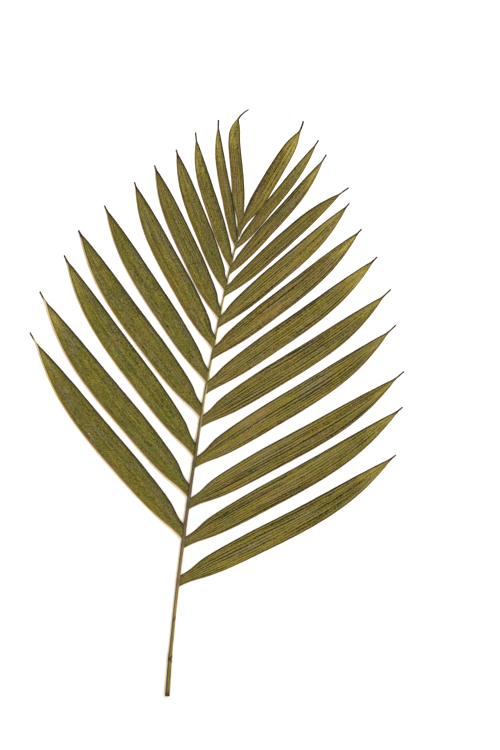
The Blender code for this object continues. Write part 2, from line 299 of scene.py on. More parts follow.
def leafletTree():
    tree = bpy.data.node_groups.new("leafletsAlongStem", "GeometryNodeTree")
    add = partial(addNode, tree)
    face = tree.interface
    face.new_socket("Roots", in_out="INPUT", socket_type="NodeSocketGeometry")
    kinds = {"Rows": "Int", "Columns": "Int", "Thickness": "Float", "Thread width": "Float",
             "Camber": "Float", "Pleat height": "Float", "Wave height": "Float", "Wave length": "Float",
             "Edge wander": "Float", "Finish": "Material"}
    for label, kind in kinds.items():
        face.new_socket(label, in_out="INPUT", socket_type="NodeSocket" + kind)
    face.new_socket("Leaflets", in_out="OUTPUT", socket_type="NodeSocketGeometry")
    given = add("NodeGroupInput").outputs

    # a thin flat block, cut into rows and columns, is the blank of every leaflet
    blank = add("GeometryNodeMeshCube", {"Size": (1, 1, 1), "Vertices X": given["Rows"],
                                         "Vertices Y": given["Columns"], "Vertices Z": 2})
    spot = add("ShaderNodeSeparateXYZ", [add("GeometryNodeInputPosition")])
    cut = blank.outputs["Mesh"]
    steps = (("along", 0, 1.0, 0.5), ("across", 1, 2.0, 0.0), ("layer", 2, 2.0, 0.0))
    for label, axis, factor, shift in steps:
        share = add("ShaderNodeMath", [spot.outputs[axis], factor, shift], operation="MULTIPLY_ADD")
        cut = add("GeometryNodeStoreNamedAttribute", {"Geometry": cut, "Name": label, "Value": share})
    placed = add("GeometryNodeInstanceOnPoints", {"Points": given["Roots"], "Instance": cut})
    real = add("GeometryNodeRealizeInstances", [placed])

    read = {}
    for labels, kind in ((("along", "across", "layer") + shapeFacts, "FLOAT"), (lineFacts, "FLOAT_VECTOR")):
        for label in labels:
            read[label] = add("GeometryNodeInputNamedAttribute", {"Name": label}, data_type=kind)
    along, across = read["along"], read["across"]

    # how far the rows have turned from the stem's line to square with the blade
    turned = add("ShaderNodeMapRange", [along, 0.0, read["footBlend"], 0.0, 1.0],
                 interpolation_type="SMOOTHSTEP")
    travelled = add("ShaderNodeMath", [along, read["bladeLength"]], operation="MULTIPLY")
    waveTurn = add("ShaderNodeMath", [travelled, given["Wave length"]], operation="DIVIDE")
    waveTurn = add("ShaderNodeMath", [read["leafSeed"], leaflet["seedSpread"], waveTurn],
                   operation="MULTIPLY_ADD")
    slow = add("ShaderNodeTexNoise", {"W": waveTurn, "Scale": 1.0, "Detail": 1.0}, noise_dimensions="1D")
    rollTurn = add("ShaderNodeMath", [waveTurn, leaflet["rollShift"]], operation="ADD")
    roll = add("ShaderNodeTexNoise", {"W": rollTurn, "Scale": leaflet["rollRuns"], "Detail": 0.0},
               noise_dimensions="1D")
    edgeTurn = add("ShaderNodeMath", [waveTurn, leaflet["edgeRuns"]], operation="MULTIPLY")
    edge = add("ShaderNodeTexNoise", {"W": edgeTurn, "Scale": 1.0, "Detail": 2.0}, noise_dimensions="1D")

    # width of the blade, from its outline
    slimmed = add("ShaderNodeMath", [along, read["tipSlim"]], operation="MULTIPLY", use_clamp=True)
    blunt = add("ShaderNodeFloatCurve", {"Value": slimmed})
    shapeCurve(blunt, leaflet["bluntPlaces"])
    slimmed = add("ShaderNodeMix", {0: read["bluntShare"], 2: slimmed, 3: blunt}, data_type="FLOAT")
    outline = add("ShaderNodeFloatCurve", {"Value": slimmed})
    shapeCurve(outline, leaflet["outline"])
    wide = add("ShaderNodeMath", [outline, read["bladeWidth"]], operation="MULTIPLY")
    wander = add("ShaderNodeMath", [edge, 0.5], operation="SUBTRACT")
    wander = add("ShaderNodeMath", [wander, outline], operation="MULTIPLY")
    wide = add("ShaderNodeMath", [wander, given["Edge wander"], wide], operation="MULTIPLY_ADD")
    threadWide = add("ShaderNodeMath", [read["bluntShare"], leaflet["bluntThread"], 1.0],
                     operation="MULTIPLY_ADD")
    threadWide = add("ShaderNodeMath", [threadWide, given["Thread width"]], operation="MULTIPLY")
    wide = add("ShaderNodeMath", [wide, threadWide], operation="MAXIMUM")
    wide = add("ShaderNodeMix", {0: turned, 2: read["footLength"], 3: wide}, data_type="FLOAT")
    rowLine = add("ShaderNodeMix", {0: turned, 4: read["heading"], 5: read["acrossLine"]}, data_type="VECTOR")
    rowLine = add("ShaderNodeVectorMath", [rowLine.outputs[1]], operation="NORMALIZE")

    # the middle line, which bows out and rises between foot and tip
    bow = add("ShaderNodeMath", [along, read["bowSkew"]], operation="POWER")
    bow = add("ShaderNodeMath", [bow, math.pi], operation="MULTIPLY")
    bow = add("ShaderNodeMath", [bow], operation="SINE")
    bow = add("ShaderNodeMath", [bow, read["bowReach"]], operation="MULTIPLY")
    forward = add("ShaderNodeVectorMath", {0: read["aheadLine"], "Scale": travelled}, operation="SCALE")
    sagTurn = add("ShaderNodeMapRange", [along, 0.0, read["sagEnd"], 0.0, math.pi])
    sag = add("ShaderNodeMath", [sagTurn], operation="SINE")
    bow = add("ShaderNodeMath", [sag, read["sagReach"], bow], operation="MULTIPLY_ADD")
    hook = add("ShaderNodeMapRange", [along, leaflet["hookStart"], 1.0, 0.0, 1.0])
    hook = add("ShaderNodeMath", [hook, hook], operation="MULTIPLY")
    hook = add("ShaderNodeMath", [hook, read["hookReach"]], operation="MULTIPLY")
    bow = add("ShaderNodeMath", [bow, hook], operation="SUBTRACT")
    outward = add("ShaderNodeVectorMath", {0: read["acrossLine"], "Scale": bow}, operation="SCALE")
    middle = add("ShaderNodeVectorMath", [read["rootPlace"], forward], operation="ADD")
    middle = add("ShaderNodeVectorMath", [middle, outward], operation="SUBTRACT")
    rise = add("ShaderNodeMath", [along, leaflet["archSkew"]], operation="POWER")
    rise = add("ShaderNodeMath", [rise, math.pi], operation="MULTIPLY")
    rise = add("ShaderNodeMath", [rise], operation="SINE")
    rise = add("ShaderNodeMath", [rise, read["riseReach"]], operation="MULTIPLY")
    toTip = add("ShaderNodeMath", [1.0, along], operation="SUBTRACT")
    toTip = add("ShaderNodeMath", [toTip, read["fallPower"]], operation="POWER")
    fallen = add("ShaderNodeMath", [1.0, toTip], operation="SUBTRACT")
    rise = add("ShaderNodeMath", [fallen, read["tipDrop"], rise], operation="MULTIPLY_ADD")

    # camber, pleats and the slow waves that drying left
    shape = add("ShaderNodeMath", [wide.outputs[0], read["bladeWidth"]], operation="DIVIDE")
    shape = add("ShaderNodeMath", [shape, 1.0], operation="MINIMUM")
    shape = add("ShaderNodeMath", [shape, turned], operation="MULTIPLY")
    square = add("ShaderNodeMath", [across, across], operation="MULTIPLY")
    drop = add("ShaderNodeMath", [square, given["Camber"]], operation="MULTIPLY")
    drop = add("ShaderNodeMath", [drop, read["bladeWidth"]], operation="MULTIPLY")
    place = add("ShaderNodeMath", [across, 0.5, 0.5], operation="MULTIPLY_ADD")
    pleats = add("ShaderNodeFloatCurve", {"Value": place})
    shapeCurve(pleats, leaflet["pleats"])
    lift = add("ShaderNodeMath", [pleats, leaflet["pleatSwing"], -leaflet["pleatSwing"] / 2],
               operation="MULTIPLY_ADD")
    lift = add("ShaderNodeMath", [lift, given["Pleat height"]], operation="MULTIPLY")
    lift = add("ShaderNodeMath", [lift, read["pleatShare"]], operation="MULTIPLY")
    narrow = add("ShaderNodeMath", [read["bladeWidth"], leaflet["fullWidth"] * mm], operation="DIVIDE")
    narrow = add("ShaderNodeMath", [narrow, 1.0], operation="MINIMUM")
    lift = add("ShaderNodeMath", [lift, narrow], operation="MULTIPLY")
    lift = add("ShaderNodeMath", [lift, drop], operation="SUBTRACT")
    tilt = add("ShaderNodeMath", [roll, 0.5], operation="SUBTRACT")
    tilt = add("ShaderNodeMath", [tilt, across], operation="MULTIPLY")
    sway = add("ShaderNodeMath", [slow, 0.5], operation="SUBTRACT")
    sway = add("ShaderNodeMath", [tilt, leaflet["rollShare"], sway], operation="MULTIPLY_ADD")
    lift = add("ShaderNodeMath", [sway, given["Wave height"], lift], operation="MULTIPLY_ADD")
    level = add("ShaderNodeMath", [lift, shape, rise], operation="MULTIPLY_ADD")

    # the surface point, then its upper or lower skin; nothing goes below the paper
    halfWide = add("ShaderNodeMath", [wide.outputs[0], 0.5], operation="MULTIPLY")
    aside = add("ShaderNodeMath", [halfWide, across], operation="MULTIPLY")
    aside = add("ShaderNodeVectorMath", {0: rowLine, "Scale": aside}, operation="SCALE")
    point = add("ShaderNodeVectorMath", [middle, aside], operation="ADD")
    clasped = add("ShaderNodeMapRange", [along, 0.0, leaflet["claspEnd"], 1.0, 0.0],
                  interpolation_type="SMOOTHSTEP")
    clasp = add("ShaderNodeVectorMath", {0: read["claspLine"], "Scale": clasped}, operation="SCALE")
    point = add("ShaderNodeVectorMath", [point, clasp], operation="ADD")
    parts = add("ShaderNodeSeparateXYZ", [point])
    claspUp = add("ShaderNodeSeparateXYZ", [clasp])
    rootParts = add("ShaderNodeSeparateXYZ", [read["rootPlace"]])
    level = add("ShaderNodeMath", [level, rootParts.outputs[2]], operation="ADD")
    level = add("ShaderNodeMath", [level, claspUp.outputs[2]], operation="ADD")
    halfThick = add("ShaderNodeMath", [given["Thickness"], 0.5], operation="MULTIPLY")
    level = add("ShaderNodeMath", [level, halfThick], operation="MAXIMUM")
    level = add("ShaderNodeMath", [read["layer"], halfThick, level], operation="MULTIPLY_ADD")
    there = add("ShaderNodeCombineXYZ", [parts.outputs[0], parts.outputs[1], level])
    shaped = add("GeometryNodeSetPosition", {"Geometry": real, "Position": there})

    # what the leaf finish reads
    alongMm = add("ShaderNodeMath", [travelled, 1 / mm], operation="MULTIPLY")
    lengthMm = add("ShaderNodeMath", [read["bladeLength"], 1 / mm], operation="MULTIPLY")
    tipMm = add("ShaderNodeMath", [lengthMm, alongMm], operation="SUBTRACT")
    halfMm = add("ShaderNodeMath", [halfWide, 1 / mm], operation="MULTIPLY")
    for label, value in (("alongMm", alongMm), ("tipMm", tipMm), ("halfMm", halfMm)):
        shaped = add("GeometryNodeStoreNamedAttribute", {"Geometry": shaped, "Name": label, "Value": value})
    page = add("ShaderNodeCombineXYZ", [along, place, 0.0])
    shaped = add("GeometryNodeStoreNamedAttribute", {"Geometry": shaped, "Name": "UVMap", "Value": page},
                 data_type="FLOAT2", domain="CORNER")
    smooth = add("GeometryNodeSetShadeSmooth", {"Geometry": shaped, "Shade Smooth": True})
    whole = add("GeometryNodeRealizeInstances", [smooth])
    painted = add("GeometryNodeSetMaterial", {"Geometry": whole, "Material": given["Finish"]})
    add("NodeGroupOutput", [painted])
    return tree


def stemTree():
    tree = bpy.data.node_groups.new("stemAlongRoute", "GeometryNodeTree")
    add = partial(addNode, tree)
    face = tree.interface
    face.new_socket("Route", in_out="INPUT", socket_type="NodeSocketGeometry")
    kinds = {"Sides": "Int", "Rings": "Int", "Scar reach": "Float", "Scar height": "Float",
             "Bark grain": "Float", "Feet": "Object", "Finish": "Material"}
    for label, kind in kinds.items():
        face.new_socket(label, in_out="INPUT", socket_type="NodeSocket" + kind)
    face.new_socket("Stem", in_out="OUTPUT", socket_type="NodeSocketGeometry")
    given = add("NodeGroupInput").outputs

    tube = add("GeometryNodeMeshCylinder", {
        "Vertices": given["Sides"], "Side Segments": given["Rings"], "Radius": 1.0, "Depth": 1.0,
    }, fill_type="TRIANGLE_FAN")
    spot = add("ShaderNodeSeparateXYZ", [add("GeometryNodeInputPosition")])
    share = add("ShaderNodeMath", [spot.outputs[2], 0.5], operation="ADD")
    turn = add("ShaderNodeMath", [spot.outputs[1], spot.outputs[0]], operation="ARCTAN2")
    turn = add("ShaderNodeMath", [turn, 1 / (2 * math.pi), 0.5], operation="MULTIPLY_ADD")
    section = add("ShaderNodeFloatCurve", {"Value": turn})
    shapeCurve(section, stem["section"])

    route = add("GeometryNodeSampleCurve", {"Curves": given["Route"], "Factor": share,
                                            "Value": add("GeometryNodeInputRadius")}, mode="FACTOR",
                data_type="FLOAT")
    sideways = add("ShaderNodeVectorMath", [route.outputs["Tangent"], (0, 0, 1)], operation="CROSS_PRODUCT")
    sideways = add("ShaderNodeVectorMath", [sideways], operation="NORMALIZE")
    upward = add("ShaderNodeVectorMath", [sideways, route.outputs["Tangent"]], operation="CROSS_PRODUCT")

    # swollen scars at the leaflets' feet, and a fine lengthwise grain
    feet = add("GeometryNodeObjectInfo", {"Object": given["Feet"]})
    near = add("GeometryNodeProximity", {"Geometry": feet.outputs["Geometry"],
                                         "Sample Position": route.outputs["Position"]},
               target_element="POINTS")
    scar = add("ShaderNodeMapRange", [near.outputs["Distance"], given["Scar reach"], 0.0, 0.0, 1.0],
               interpolation_type="SMOOTHSTEP")
    grainRun = add("ShaderNodeMath", [share, stem["grainRun"]], operation="MULTIPLY")
    grainPlace = add("ShaderNodeCombineXYZ", [spot.outputs[0], spot.outputs[1], grainRun])
    grain = add("ShaderNodeTexNoise", {"Vector": grainPlace, "Scale": stem["grainFine"], "Detail": 2.0})
    reach = add("ShaderNodeMath", [section, route.outputs["Value"]], operation="MULTIPLY")
    reach = add("ShaderNodeMath", [scar, given["Scar height"], reach], operation="MULTIPLY_ADD")
    grit = add("ShaderNodeMath", [grain, 0.5], operation="SUBTRACT")
    reach = add("ShaderNodeMath", [grit, given["Bark grain"], reach], operation="MULTIPLY_ADD")
    outX = add("ShaderNodeMath", [reach, spot.outputs[0]], operation="MULTIPLY")
    outY = add("ShaderNodeMath", [reach, spot.outputs[1]], operation="MULTIPLY")
    outX = add("ShaderNodeVectorMath", {0: sideways, "Scale": outX}, operation="SCALE")
    outY = add("ShaderNodeVectorMath", {0: upward, "Scale": outY}, operation="SCALE")
    point = add("ShaderNodeVectorMath", [route.outputs["Position"], outX], operation="ADD")
    point = add("ShaderNodeVectorMath", [point, outY], operation="ADD")
    # nothing goes below the paper; sideways the limit is far off
    point = add("ShaderNodeVectorMath", [point, (-10, -10, 0)], operation="MAXIMUM")

    shaped = tube.outputs["Mesh"]
    alongMm = add("ShaderNodeMath", [share, stem["route"][-1][0]], operation="MULTIPLY")
    for label, value in (("alongMm", alongMm), ("around", turn), ("side", spot.outputs[0]), ("scar", scar)):
        shaped = add("GeometryNodeStoreNamedAttribute", {"Geometry": shaped, "Name": label, "Value": value})
    page = add("ShaderNodeCombineXYZ", [share, turn, 0.0])
    shaped = add("GeometryNodeStoreNamedAttribute", {"Geometry": shaped, "Name": "UVMap", "Value": page},
                 data_type="FLOAT2", domain="CORNER")
    shaped = add("GeometryNodeSetPosition", {"Geometry": shaped, "Position": point})
    smooth = add("GeometryNodeSetShadeSmooth", {"Geometry": shaped, "Shade Smooth": True})
    whole = add("GeometryNodeRealizeInstances", [smooth])
    painted = add("GeometryNodeSetMaterial", {"Geometry": whole, "Material": given["Finish"]})
    add("NodeGroupOutput", [painted])
    return tree


def plainMesh(source, tree, values, name):
    # runs the tree on the source, and keeps the result as a mesh of its own
    modifier = source.modifiers.new(tree.name, "NODES")
    modifier.node_group = tree
    sockets = {item.name: item.identifier for item in tree.interface.items_tree if item.in_out == "INPUT"}
    for label, value in values.items():
        modifier[sockets[label]] = value
    graph = bpy.context.evaluated_depsgraph_get()
    mesh = bpy.data.meshes.new_from_object(source.evaluated_get(graph), depsgraph=graph)
    source.modifiers.remove(modifier)
    mesh.name = name
    made = bpy.data.objects.new(name, mesh)
    bpy.context.scene.collection.objects.link(made)
    edit = bmesh.new()
    edit.from_mesh(mesh)
    bmesh.ops.remove_doubles(edit, verts=edit.verts, dist=1e-6)
    bmesh.ops.recalc_face_normals(edit, faces=edit.faces)
    edit.to_mesh(mesh)
    edit.free()
    return made


# finishes
leafSkin = {
    "green": "#4e5616", "brown": "#614b27", "grey": "#5f5a42", "yellow": "#6d6314", "gold": "#8a7e38",
    # the tone of the dark upper margin also serves the painted shade beside it
    "ochre": "#7a5a1a", "upperRimAndShade": "#14150c", "lowerRim": "#43320f", "paleRim": "#cabb92",
    "thread": "#20170c", "underside": "#8a8250", "fleck": "#d8cf9f",
    # real veins lie about 0.7 mm apart and real fibres 0.3 mm; both are drawn wider apart, so that they show
    "veinMm": 2.1,
    # noise drawn out along the blade: its run and its gap in mm, a shift, and its detail
    "streaks": {
        "waver": (60.0, 5.0, 0.0, 0.0), "strong": (28.0, 3.2, 31.0, 0.0), "ribs": (70.0, 1.45, 21.0, 0.0),
        "fibres": (8.0, 1.3, 5.0, 0.0), "bands": (30.0, 5.0, 11.0, 1.0),
    },
    "halfBladeMm": 10.0,   # half the width of a full-grown blade, on which those gaps are counted
    "seedSpread": 90.0,
    "grainMm": 1.0, "tingeMm": 1.25, "patchMm": 26.0,
    # how far the veins waver, how strong they are from place to place, and how much is lines or loose ribs
    "veinWaver": 1.5,
    "veinStrength": (0.36, 0.64, 0.45, 1.3),
    "veinLines": 0.68, "veinRibs": 2.1,
    # how much each thing browns or lightens the skin
    "browning": {"level": -0.645, "tinge": 1.15, "patch": 0.7, "whole": 0.5, "veins": -0.08},
    "lightness": {"level": -0.32, "grain": 1.4, "veined": 0.09, "fibres": 0.82, "patch": 0.5, "veins": 0.95},
    "lightest": 1.8, "darkest": 0.2,
    "acrossFall": (0.09, -0.12),        # lighter or darker towards the upper edge, with and without veins
    "dust": 0.055,                      # grey-white grain over the colour
    "bands": {"grey": (0.5, 0.72, 0.0, 0.45), "yellow": (0.5, 0.3, 0.0, 0.3)},
    "tipVeins": (55.0, 15.0, 0.0, 0.5),     # near the tip the veins stand out on every leaflet
    "goldMm": (46.0, 12.0), "goldFull": 1.15,
    "goldStreaks": (2.4, -0.3), "goldAcross": (-0.25, 0.95),
    "fleckMm": 0.45, "fleckCells": 48.0, "fleckRare": 0.62, "fleckShare": 0.6,
    # the painted shade along each leaflet's upper edge: its reach in mm, its strength, and how the veins
    # weaken it
    "shadeMm": 3.6, "shadeShare": 0.75, "shadeVeined": (-0.75, 1.05),
    "rimMm": 1.5, "upperLineMm": 0.5, "upperShare": 0.9, "lowerLineMm": 0.2, "lowerShare": 0.85,
    # the bare rim along the lower edge of the smooth leaflets grows wider near the tip
    "paleMm": 0.6, "paleTipMm": 1.35, "paleFromMm": 80.0, "paleToMm": 35.0, "paleVeined": (-3.2, 1.5),
    "joinFade": (-6.0, 3.0),            # mm round the end of the joined part where the dark rim sets in
    "threadMm": 8.5, "threadFullMm": 5.0,
    "underShare": 0.4,
    "reliefMm": 0.2, "relief": 0.35, "dull": (0.25, 0.52),
    # from the stem's foot upwards: how far the tip of each leaflet dried yellow, how brown its blade went,
    # and how far the veins stand out
    "goldTips": {"left": (0.6, 0.8, 0.35, 0.15, 0.0, 0.1, 0.0, 0.2, 0.7, 0.75),
                 "right": (0.5, 0.6, 0.4, 0.5, 0.5, 0.8, 0.65, 0.4, 0.35, 0.75, 0.5), "end": (0.65, 0.7)},
    "browned": {"left": (0.25, 0.15, 0.15, 0.15, 0.2, 0.3, 0.35, 0.3, 0.4, 0.5),
                "right": (0.5, 0.5, 0.55, 0.55, 0.6, 0.6, 0.75, 0.65, 0.6, 0.75, 0.6), "end": (0.6, 0.75)},
    "veined": {"left": (0.2, 0.2, 0.25, 0.25, 0.3, 0.35, 0.35, 0.4, 0.4, 0.5),
               "right": (1.15, 1.15, 1.2, 1.2, 1.2, 1.15, 1.15, 1.15, 1.2, 1.15, 1.25), "end": (0.9, 1.1)},
}


def driedLeafMaterial():
    # air-dried palm leaf, pressed flat: a dull, waxless skin over tough lengthwise fibres. The eye gets olive
    # green going brown in grains and streaks, fine dark veins, dark rims with painted shade along the upper
    # edge, and hardly any sheen
    made, tree = emptyMaterial("airDriedPalmLeaf")
    add = partial(addNode, tree)
    tint = {name: linearColour(value) for name, value in leafSkin.items() if isinstance(value, str)}
    read = {}
    for label in ("alongMm", "tipMm", "halfMm", "across", "layer", "leafSeed") + skinFacts:
        read[label] = add("ShaderNodeAttribute", attribute_name=label).outputs["Fac"]
    brownShare, veinShare, across = read["brownShare"], read["veinShare"], read["across"]
    seedShift = add("ShaderNodeMath", [read["leafSeed"], leafSkin["seedSpread"]], operation="MULTIPLY")

    def streaks(name):
        # they draw together towards foot and tip, as the blade narrows
        runMm, gapMm, shift, detail = leafSkin["streaks"][name]
        run = add("ShaderNodeMath", [read["alongMm"], 1 / runMm, shift], operation="MULTIPLY_ADD")
        gap = add("ShaderNodeMath", [across, leafSkin["halfBladeMm"] / gapMm], operation="MULTIPLY")
        return add("ShaderNodeTexNoise", {"Vector": add("ShaderNodeCombineXYZ", [run, gap, seedShift]),
                                          "Scale": 1.0, "Detail": detail})

    def weighed(shares, sources):
        # a level, and a share of each source on top
        total = shares["level"]
        for name, source in sources.items():
            total = add("ShaderNodeMath", [source, shares[name], total], operation="MULTIPLY_ADD")
        return total

    # veins: even lines that waver a little and stand out more here than there, and looser ribs between them
    veinTurn = add("ShaderNodeMath", [across, leafSkin["halfBladeMm"] / leafSkin["veinMm"], seedShift],
                   operation="MULTIPLY_ADD")
    veinTurn = add("ShaderNodeMath", [streaks("waver"), leafSkin["veinWaver"], veinTurn],
                   operation="MULTIPLY_ADD")
    veins = add("ShaderNodeMath", [veinTurn, 2 * math.pi], operation="MULTIPLY")
    veins = add("ShaderNodeMath", [veins], operation="SINE")
    strength = add("ShaderNodeMapRange", [streaks("strong"), *leafSkin["veinStrength"]])
    veins = add("ShaderNodeMath", [veins, strength], operation="MULTIPLY")
    ribs = add("ShaderNodeMath", [streaks("ribs"), leafSkin["veinRibs"], -leafSkin["veinRibs"] / 2],
               operation="MULTIPLY_ADD")
    veins = add("ShaderNodeMath", [veins, leafSkin["veinLines"], ribs], operation="MULTIPLY_ADD")
    fibres, bands = streaks("fibres"), streaks("bands")
    place = add("ShaderNodeTexCoord").outputs["Object"]
    grain = add("ShaderNodeTexNoise", {"Vector": place, "Scale": 1000 / leafSkin["grainMm"], "Detail": 0.0})
    tinge = add("ShaderNodeTexNoise", {"Vector": place, "Scale": 1000 / leafSkin["tingeMm"], "Detail": 0.0})
    patch = add("ShaderNodeTexNoise", {"Vector": place, "Scale": 1000 / leafSkin["patchMm"], "Detail": 3.0})

    # green or brown, in grains, bands and wide patches; then greyer or yellower bands
    tipShare = add("ShaderNodeMapRange", [read["tipMm"], *leafSkin["tipVeins"]])
    veinDepth = add("ShaderNodeMath", [veinShare, tipShare], operation="MAXIMUM")
    veinDepth = add("ShaderNodeMath", [veins, veinDepth], operation="MULTIPLY")
    hue = weighed(leafSkin["browning"], {"tinge": tinge, "patch": patch, "whole": brownShare,
                                         "veins": veinDepth})
    colour = add("ShaderNodeMix", {0: hue, 6: tint["green"], 7: tint["brown"]}, data_type="RGBA").outputs[2]
    for name, strip in leafSkin["bands"].items():
        share = add("ShaderNodeMapRange", [bands, *strip])
        colour = add("ShaderNodeMix", {0: share, 6: colour, 7: tint[name]}, data_type="RGBA").outputs[2]

    # the last few centimetres dried yellow, in streaks
    gold = add("ShaderNodeMapRange", [read["tipMm"], *leafSkin["goldMm"], 0.0, leafSkin["goldFull"]],
               interpolation_type="SMOOTHSTEP")
    goldRun = add("ShaderNodeMath", [fibres, *leafSkin["goldStreaks"]], operation="MULTIPLY_ADD",
                  use_clamp=True)
    goldSide = add("ShaderNodeMath", [across, *leafSkin["goldAcross"]], operation="MULTIPLY_ADD")
    for share in (goldRun, goldSide, read["goldShare"]):
        gold = add("ShaderNodeMath", [gold, share], operation="MULTIPLY")
    colour = add("ShaderNodeMix", {0: gold, 6: colour, 7: tint["gold"]}, data_type="RGBA").outputs[2]

    # lighter and darker: grain, fibres, and vein lines, which stand out more on some leaflets than on others
    value = weighed(leafSkin["lightness"], {"grain": grain, "veined": veinShare, "fibres": fibres,
                                            "patch": patch, "veins": veinDepth})
    fall = add("ShaderNodeMath", [veinShare, *leafSkin["acrossFall"]], operation="MULTIPLY_ADD")
    value = add("ShaderNodeMath", [across, fall, value], operation="MULTIPLY_ADD")
    value = add("ShaderNodeMath", [value, leafSkin["darkest"]], operation="MAXIMUM")
    value = add("ShaderNodeMath", [value, leafSkin["lightest"]], operation="MINIMUM")
    colour = add("ShaderNodeVectorMath", {0: colour, "Scale": value}, operation="SCALE")
    dust = add("ShaderNodeMath", [grain, leafSkin["dust"], -leafSkin["dust"] / 2], operation="MULTIPLY_ADD")
    colour = add("ShaderNodeVectorMath", [colour, dust], operation="ADD")
    # dry leaf is nowhere quite black
    colour = add("ShaderNodeVectorMath", [colour, (0.004, 0.004, 0.003)], operation="MAXIMUM")

    # pale flecks where the skin has lifted
    cells = add("ShaderNodeTexVoronoi", {"Vector": place, "Scale": leafSkin["fleckCells"]})
    rare = add("ShaderNodeSeparateColor", [cells.outputs["Color"]])
    rare = add("ShaderNodeMath", [rare.outputs[0], leafSkin["fleckRare"]], operation="LESS_THAN")
    reach = leafSkin["fleckCells"] * leafSkin["fleckMm"] * mm
    fleck = add("ShaderNodeMath", [add("ShaderNodeMath", [cells.outputs["Distance"], reach],
                                       operation="LESS_THAN"), rare], operation="MULTIPLY")
    colour = add("ShaderNodeMix", {0: add("ShaderNodeMath", [fleck, leafSkin["fleckShare"]],
                                          operation="MULTIPLY"), 6: colour, 7: tint["fleck"]},
                 data_type="RGBA").outputs[2]

    # the upper rim: a soft band of painted shade and a near-black line that is partly a dark margin and
    # partly painted shade, both missing where the end pair is joined
    edgeMm = {}
    for side, sign in (("upper", -1.0), ("lower", 1.0)):
        toEdge = add("ShaderNodeMath", [across, sign, 1.0], operation="MULTIPLY_ADD")
        edgeMm[side] = add("ShaderNodeMath", [toEdge, read["halfMm"]], operation="MULTIPLY")
    past = add("ShaderNodeMath", [read["alongMm"], read["rimFrom"]], operation="SUBTRACT")
    rimmed = add("ShaderNodeMapRange", [past, *leafSkin["joinFade"], 0.0, 1.0])
    paintedUpperShade = add("ShaderNodeMapRange", [edgeMm["upper"], leafSkin["shadeMm"], 0.0, 0.0,
                                       leafSkin["shadeShare"]])
    paintedUpperShade = add("ShaderNodeMath", [paintedUpperShade, add("ShaderNodeMath", [veinShare, *leafSkin["shadeVeined"]],
                                              operation="MULTIPLY_ADD")], operation="MULTIPLY")
    colour = add("ShaderNodeMix", {0: add("ShaderNodeMath", [paintedUpperShade, rimmed], operation="MULTIPLY"), 6: colour,
                                   7: tint["upperRimAndShade"]}, data_type="RGBA").outputs[2]
    dark = add("ShaderNodeMapRange", [edgeMm["upper"], leafSkin["rimMm"], leafSkin["upperLineMm"], 0.0,
                                      leafSkin["upperShare"]])
    colour = add("ShaderNodeMix", {0: add("ShaderNodeMath", [dark, rimmed], operation="MULTIPLY"), 6: colour,
                                   7: tint["upperRimAndShade"]}, data_type="RGBA").outputs[2]

    # the lower rim: an ochre or dark line, and outside it a bare pale edge on the leaflets with few veins
    bare = add("ShaderNodeMath", [veinShare, *leafSkin["paleVeined"]], operation="MULTIPLY_ADD",
               use_clamp=True)
    paleWide = add("ShaderNodeMapRange", [read["tipMm"], leafSkin["paleFromMm"], leafSkin["paleToMm"],
                                          leafSkin["paleMm"], leafSkin["paleTipMm"]])
    lowMm = add("ShaderNodeMath", [edgeMm["lower"], add("ShaderNodeMath", [paleWide, bare],
                                                        operation="MULTIPLY")], operation="SUBTRACT")
    lowerTone = add("ShaderNodeMath", [tipShare, 2.0, veinShare], operation="MULTIPLY_ADD", use_clamp=True)
    lowerTint = add("ShaderNodeMix", {0: lowerTone, 6: tint["ochre"], 7: tint["lowerRim"]},
                    data_type="RGBA").outputs[2]
    low = add("ShaderNodeMapRange", [lowMm, leafSkin["rimMm"], leafSkin["lowerLineMm"], 0.0,
                                     leafSkin["lowerShare"]])
    colour = add("ShaderNodeMix", {0: low, 6: colour, 7: lowerTint}, data_type="RGBA").outputs[2]
    pale = add("ShaderNodeMapRange", [lowMm, leafSkin["lowerLineMm"], -leafSkin["lowerLineMm"], 0.0, bare])
    colour = add("ShaderNodeMix", {0: pale, 6: colour, 7: tint["paleRim"]}, data_type="RGBA").outputs[2]
    thread = add("ShaderNodeMapRange", [read["tipMm"], leafSkin["threadMm"], leafSkin["threadFullMm"], 0.0,
                                        1.0])
    colour = add("ShaderNodeMix", {0: thread, 6: colour, 7: tint["thread"]}, data_type="RGBA").outputs[2]
    under = add("ShaderNodeMath", [read["layer"], -leafSkin["underShare"]], operation="MULTIPLY",
                use_clamp=True)
    colour = add("ShaderNodeMix", {0: under, 6: colour, 7: tint["underside"]}, data_type="RGBA").outputs[2]

    relief = add("ShaderNodeMath", [veins, 0.8, fibres], operation="MULTIPLY_ADD")
    bump = add("ShaderNodeBump", {
        "Strength": leafSkin["relief"], "Distance": leafSkin["reliefMm"] * mm, "Height": relief,
    })
    dull = add("ShaderNodeMath", [fibres, *leafSkin["dull"]], operation="MULTIPLY_ADD")
    shader = add("ShaderNodeBsdfPrincipled", {
        "Base Color": colour, "Roughness": dull, "Normal": bump, "IOR": 1.42, "Specular IOR Level": 0.15,
        "Metallic": 0.0,
    })
    add("ShaderNodeOutputMaterial", [shader])
    return made


